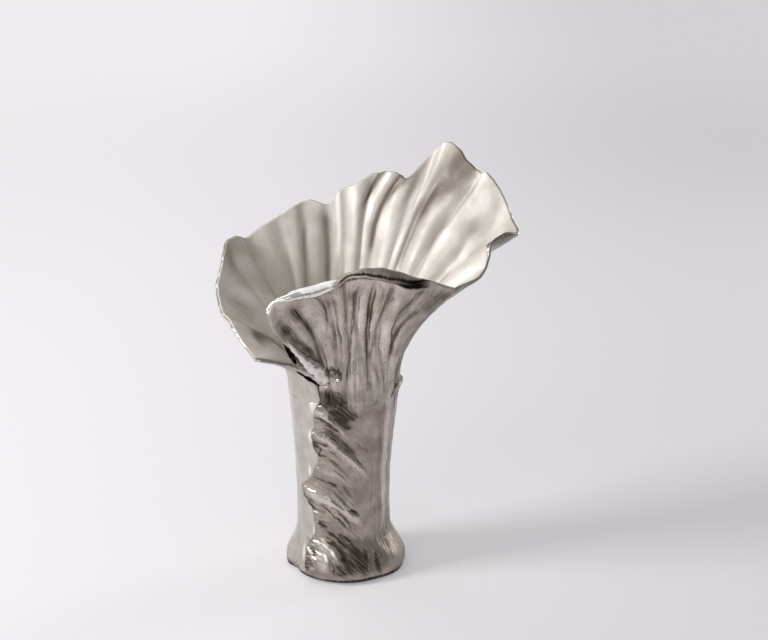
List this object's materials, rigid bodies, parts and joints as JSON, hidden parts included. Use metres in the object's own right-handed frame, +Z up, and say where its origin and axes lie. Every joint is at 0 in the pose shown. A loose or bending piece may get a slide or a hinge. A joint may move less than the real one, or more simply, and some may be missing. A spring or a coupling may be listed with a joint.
{
  "type": "metal flower vase",
  "caption": "Free-standing metal flower vase shaped like a gnarled trunk that opens into two fluted leaves with a pearl enamel inside.",
  "frame": {"origin": "middle of the round felt pad, on the surface that the vase stands on", "axes": "+Z up, +X to the side that the tall leaf leans to, -Y to the front where the low leaf is"},
  "size_m": [0.2558, 0.1704, 0.3619],
  "materials": {
    "nickel": "nickel-plated cast metal, polished, faint lengthwise striations",
    "nickel_patina": "nickel-plated cast metal, hand-worked, dark patina left in the hollows",
    "pearl_enamel": "glossy pearl enamel with a warm silver sheen",
    "black_felt": "matt black wool felt"
  },
  "bodies": {
    "root": {"base_plate": "nickel_patina", "felt_pad": "black_felt", "trunk_tube": "nickel", "trunk_panel": "nickel_patina", "trunk_enamel": "pearl_enamel", "neck_weld": "nickel_patina", "back_leaf": "nickel", "front_leaf": "nickel_patina", "back_leaf_enamel": "pearl_enamel", "front_leaf_enamel": "pearl_enamel", "seam_knot": "nickel"}
  },
  "joints": []
}
